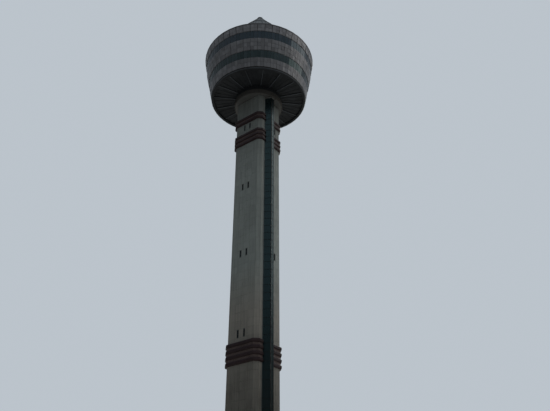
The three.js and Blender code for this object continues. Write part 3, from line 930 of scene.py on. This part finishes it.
class TOWER_OT_pod_cladding(bpy.types.Operator):
    """Clad the pod's three bands in a grid of metal panels"""

    bl_idname = "tower.pod_cladding"
    bl_label = "Pod Cladding"

    def execute(self, context):
        sizes = context.scene.tower_sizes
        rng = np.random.default_rng(16)
        low, high = RIM[0].z + 0.038, RIM[1].z
        parapet_low, parapet_high = PARAPET[0].z, PARAPET[1].z
        # Name, finish, width of the strips against the set width, and heights of the panels' edges
        bands = [
            ("rim_cladding", "pod_panel", 0.8, [low, (low + high) / 2, high]),
            ("middle_cladding", "pod_panel", 1.1, np.linspace(MIDDLE[0].z, MIDDLE[1].z, 4)),
            ("parapet_cladding", "pod_parapet_panel", 2.0,
             [parapet_low, parapet_low + 0.066, parapet_high - 0.02]),
        ]
        depth, bevel = sizes.panel_depth, 0.001
        strips = []
        for name, finish, share, edges in bands:
            make_piece(name, [
                plates(bay_quads(bottom, top), depth, sizes.panel_joint, bevel, rng, tilt=sizes.panel_tilt)
                for bottom, top in neighbours(edges)
            ], finish)
            width = share * sizes.strip_width
            strips.append(wall_bars(BAY_ANGLES, edges[0], edges[-1], width, depth + bevel, rng))
        make_piece("cladding_strips", strips, "panel_joint")
        lip = ring([
            (-0.003, -0.002), (0.001, -0.002), (0.006, 0.003), (0.008, 0.016), (0.004, 0.02), (0, 0.02),
        ], pod_radius(RIM[0].z), RIM[0].z)
        make_piece("rim_lip", [lip], "soffit_rib_paint")
        coping = ring([
            (-0.036, -0.022), (0.002, -0.022), (0.007, -0.016),
            (0.008, 0.001), (0.004, 0.004), (-0.036, 0.004),
        ], pod_radius(parapet_high), parapet_high)
        make_piece("parapet_coping", [coping], "pod_coping")
        return {"FINISHED"}


class TOWER_OT_pod_windows(bpy.types.Operator):
    """Glaze the pod's two window rows with panes, mullions, sills and heads"""

    bl_idname = "tower.pod_windows"
    bl_label = "Pod Windows"

    def execute(self, context):
        sizes = context.scene.tower_sizes
        rng = np.random.default_rng(17)
        recess = sizes.pane_depth + sizes.pane_recess
        joint, bevel, trim = 0.004, 0.0006, 0.005
        bar_depth = sizes.mullion_depth + 0.004
        frames, heads = [], []
        for name in ("lower", "upper"):
            low, high = heights(f"{name}_windows")
            quads = bay_quads(low, high, recess)
            panes = plates(quads, sizes.pane_depth, joint, bevel, rng, tilt=sizes.pane_tilt)
            make_piece(f"{name}_panes", [panes], f"pod_{name}_pane",
                       replaces=[f"{name}_windows"])
            frames.append(wall_bars(
                HALF_BAY_ANGLES, low, high, sizes.mullion_width, bar_depth, rng, recess))
            for z, rings in ((low, frames), (high - trim, heads)):
                near, far = pod_radius(z) - recess - 0.012, pod_radius(z) - 0.001
                rings.append(ring(rectangle(near, far, z, z + trim)))
        make_piece("pod_window_frames", frames, "frame_paint")
        make_piece("pod_window_heads", heads, "pod_panel")
        return {"FINISHED"}


class TOWER_OT_roof(bpy.types.Operator):
    """Seam the conical roof, lap its sheets and trim its cap"""

    bl_idname = "tower.roof"
    bl_label = "Roof"

    def execute(self, context):
        sizes = context.scene.tower_sizes
        rng = np.random.default_rng(18)
        base_r, base_z, top_z = CONE[1].x, CONE[0].z, CONE[1].z
        rise = (top_z - base_z) / (base_r - CONE_TOP_RADIUS)

        def on_cone(share):
            """The cone's radius and height at a share of the way from its eaves to its top."""
            return base_r + (CONE_TOP_RADIUS - base_r) * share, base_z + (top_z - base_z) * share

        seams = []
        for angles, share, width in (
            (BAY_ANGLES, 0.6, sizes.seam_width), (RIDGE_ANGLES, 1.0, sizes.ridge_width),
        ):
            ends = on_cone(0.0), on_cone(share)
            seams.append(spokes(angles, *ends, (rise, 1.0), width, sizes.seam_height, rng))
        lap = [(-0.006, 0), (0.005, 0), (0.001, 0.014), (-0.016, 0.014)]
        laps = [ring(lap, *on_cone(share)) for share in (0.0, 0.34, 0.67, 1.0)]
        make_piece("roof_seams", seams, "roof_seam")
        make_piece("roof_laps", laps, "roof_seam")
        cap_r, cap_z, apex = CAP[1].x, CAP[0].z + 0.008, CAP[1].z
        ends, width, depth = ((cap_r, cap_z), (0.002, apex - 0.002)), 0.004, 0.003
        ridges = spokes(RIDGE_ANGLES, *ends, (1.0, 1.0), width, depth, rng)
        drip = ring([(-0.006, -0.01), (0.003, -0.01), (0.004, 0), (-0.006, 0.003)], cap_r, cap_z)
        make_piece("cap_trim", [ridges, drip], "roof_seam")
        return {"FINISHED"}


class TOWER_OT_door(bpy.types.Operator):
    """Frame the service door and give it panels, a handle and hinges"""

    bl_idname = "tower.door"
    bl_label = "Service Door"

    def execute(self, context):
        rng = np.random.default_rng(19)
        low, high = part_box("service_door")
        half, top, face = (high.x - low.x) / 2, high.z, high.y

        def bar(x, z, y, width, depth):
            """A bar on the wall's outer side, by the x and z of its two ends."""
            ends = np.array([(x[0], y, z[0]), (x[1], y, z[1])])
            return bars(ends[:1], ends[1:], np.array([[0.0, 1.0, 0.0]]), width, depth, rng)

        trim, trim_depth = 0.012, 0.006
        middle = half + trim / 2
        surround = [
            bar((x, x), (0.0, top + trim), SHAFT_HALF, trim, trim_depth) for x in (-middle, middle)
        ]
        across = (-half - trim, half + trim), (top + trim / 2, top + trim / 2)
        surround.append(bar(*across, SHAFT_HALF, trim, trim_depth))
        make_piece("door_surround", surround, "frame_paint")
        columns = [(-half + 0.006, -0.003), (0.003, half - 0.006)]
        rows = [(0.012, 0.09), (0.1, top - 0.01)]
        panel_depth, panel_bevel = 0.002, 0.001
        quads = front_quads(columns, rows, -face) * [-1, -1, 1]
        panels = plates(quads, panel_depth, 0.0, panel_bevel, rng)
        make_piece("door_panels", [panels], "door_paint")
        # Places across, places up, height, stand-off, width and depth: the handle's bars, then the hinges
        rows = [
            ((0.01, -0.01), (0.098,), 0.018, 0.001, 0.003, 0.005),
            ((0.002 - half, half - 0.002), (0.03, 0.11, 0.19), 0.01, 0.0, 0.004, 0.004),
        ]
        fittings = [
            bar((x, x), (z, z + tall), face + off, width, depth)
            for xs, zs, tall, off, width, depth in rows for z in zs for x in xs
        ]
        make_piece("door_fittings", fittings, "frame_paint")
        return {"FINISHED"}


class TOWER_OT_frame_finishes(bpy.types.Operator):
    """Give each solid of the frame its finish"""

    bl_idname = "tower.frame_finishes"
    bl_label = "Frame Finishes"

    def execute(self, context):
        by_slot = {
            "wall_tile": "tile_joint", "concrete": "concrete", "band_red": "band_rib",
            "drum_paint": "drum_paint", "soffit_paint": "soffit_paint", "pod_panel": "panel_joint",
            "pod_glazing": "pod_upper_pane", "lift_glazing": "lift_glass", "dark_frame": "frame_paint",
            "roof_metal": "roof_metal", "door_steel": "door_paint",
        }
        for entry in frame["record"]["subparts"]:
            materials = frame["nodes"][entry["node"]].data.materials
            materials.clear()
            materials.append(FINISHES[by_slot[entry["material_slot"]]])
        return {"FINISHED"}


class TOWER_OT_stage(bpy.types.Operator):
    """Set the floor, the soft lights and the camera"""

    bl_idname = "tower.stage"
    bl_label = "Stage"

    def execute(self, context):
        scene = context.scene
        self.make_floor(scene)
        self.make_sky(scene)
        self.make_lights(scene)
        self.make_camera(scene)
        scene.view_settings.view_transform = "Standard"
        return {"FINISHED"}

    def make_floor(self, scene):
        """A flat pale disc under the tower."""
        points = polar(FLOOR_RADIUS, np.arange(FLOOR_SIDES) * 2 * np.pi / FLOOR_SIDES, FLOOR_Z)
        mesh = bpy.data.meshes.new("floor")
        mesh.from_pydata(points.tolist(), [], [list(range(FLOOR_SIDES))])
        floor = bpy.data.objects.new("floor", mesh)
        material = bpy.data.materials.new("floor")
        material.use_nodes = True
        shader = material.node_tree.nodes["Principled BSDF"]
        shader.inputs["Base Color"].default_value = (0.7, 0.7, 0.69, 1)
        shader.inputs["Roughness"].default_value = 0.9
        mesh.materials.append(material)
        scene.collection.objects.link(floor)

    def make_sky(self, scene):
        """A pale backdrop that the camera sees, a dim one that lights, and one that gloss reflects.

        Both unseen ones are stronger towards the front than towards the back. The reflected one fades
        from full strength above to almost nothing by the horizon.
        """
        world = bpy.data.worlds.new("studio")
        scene.world = world
        world.use_nodes = True
        tree = world.node_tree
        tree.nodes.clear()

        def backdrop(tint, strength):
            """A plain glow of one colour."""
            links = [("Color", (*tint, 1)), ("Strength", strength)]
            return node(tree, "ShaderNodeBackground", links).outputs[0]

        def choose(ray, otherwise, chosen):
            """One backdrop for rays of a kind, and another for the rest."""
            links = [(0, path.outputs[ray]), (1, otherwise), (2, chosen)]
            return node(tree, "ShaderNodeMixShader", links).outputs[0]

        direction = node(tree, "ShaderNodeTexCoord").outputs["Generated"]
        parts = node(tree, "ShaderNodeSeparateXYZ", [(0, direction)]).outputs
        path = node(tree, "ShaderNodeLightPath")
        front_share = ramp(tree, parts["Y"], -1.0, 1.0, low=1.3, high=0.7)
        upper_share = ramp(tree, parts["Z"], 0.27, 0.46, low=0.02, high=0.34)
        seen = backdrop((0.50, 0.55, 0.60), 1.0)
        lit = backdrop((0.85, 0.95, 1.0), math_node(tree, "MULTIPLY", front_share, 0.098))
        mirrored = backdrop((0.8, 0.9, 1.0), math_node(tree, "MULTIPLY", front_share, upper_share))
        mixed = choose("Is Camera Ray", choose("Is Glossy Ray", lit, mirrored), seen)
        tree.links.new(mixed, tree.nodes.new("ShaderNodeOutputWorld").inputs[0])

    def make_lights(self, scene):
        """A key light on the tower's right, a taller one nearer its front, and a fill behind it."""
        # Name, degrees round from the front, distance, height, width, length, power and colour
        lights = [
            ("key", 94, 15.0, 11.0, 7.0, 7.0, 700.0, (0.94, 0.96, 0.88)),
            ("side", 35, 16.0, 17.5, 12.0, 15.0, 345.0, (1.0, 0.97, 0.90)),
            ("fill", 135, 16.0, 9.0, 12.0, 12.0, 260.0, (0.95, 0.97, 0.96)),
        ]
        target = Vector((0, 0, 6))
        for name, degrees, distance, height, across, tall, power, tint in lights:
            light = bpy.data.lights.new(name, "AREA")
            light.energy = power
            light.shape = "RECTANGLE"
            light.size, light.size_y = across, tall
            light.color = tint
            lamp = bpy.data.objects.new(name, light)
            lamp.location = polar(distance, math.radians(degrees), height)
            lamp.rotation_euler = (target - lamp.location).to_track_quat("-Z", "Y").to_euler()
            scene.collection.objects.link(lamp)

    def make_camera(self, scene):
        """The camera at the photo's place: near the ground, pitched up, with the tower left of centre."""
        data = bpy.data.cameras.new("camera")
        data.sensor_width = SENSOR_WIDTH
        data.lens = SENSOR_WIDTH * FOCAL_PIXELS / PHOTO_WIDTH
        data.clip_start, data.clip_end = 0.01, 500
        camera = bpy.data.objects.new("camera", data)
        camera.location = polar(CAMERA_DISTANCE, CAMERA_AZIMUTH, CAMERA_HEIGHT)
        camera.rotation_euler = (np.pi / 2 + CAMERA_PITCH, 0, CAMERA_AZIMUTH - AXIS_LEFT_OF_CENTRE)
        scene.collection.objects.link(camera)
        scene.camera = camera


STEPS = [
    TOWER_OT_frame_finishes, TOWER_OT_wall_tiles, TOWER_OT_slit_windows, TOWER_OT_bands,
    TOWER_OT_lift_bay, TOWER_OT_drum, TOWER_OT_soffit, TOWER_OT_pod_cladding, TOWER_OT_pod_windows,
    TOWER_OT_roof, TOWER_OT_door, TOWER_OT_stage,
]


class TOWER_PT_panel(bpy.types.Panel):
    """Lists the tower's sizes, colours and building steps."""

    bl_idname = "TOWER_PT_panel"
    bl_label = "Water Tower"
    bl_space_type = "VIEW_3D"
    bl_region_type = "UI"
    bl_category = "Tower"

    def draw(self, context):
        layout = self.layout
        for settings in (context.scene.tower_sizes, context.scene.tower_colours):
            box = layout.box()
            for key in settings.bl_rna.properties.keys():
                if key not in {"rna_type", "name"}:
                    box.prop(settings, key)
        for step in STEPS:
            layout.operator(step.bl_idname)


CLASSES = [TowerSizes, TowerColours, *STEPS, TOWER_PT_panel]


def register():
    for cls in CLASSES:
        bpy.utils.register_class(cls)
    bpy.types.Scene.tower_sizes = PointerProperty(type=TowerSizes)
    bpy.types.Scene.tower_colours = PointerProperty(type=TowerColours)


def unregister():
    del bpy.types.Scene.tower_colours
    del bpy.types.Scene.tower_sizes
    for cls in reversed(CLASSES):
        bpy.utils.unregister_class(cls)


def main():
    register()
    make_finishes(bpy.context.scene.tower_colours)
    for step in STEPS:
        area, operation = step.bl_idname.split(".")
        getattr(getattr(bpy.ops, area), operation)()
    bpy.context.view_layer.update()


if __name__ == "__main__":
    main()
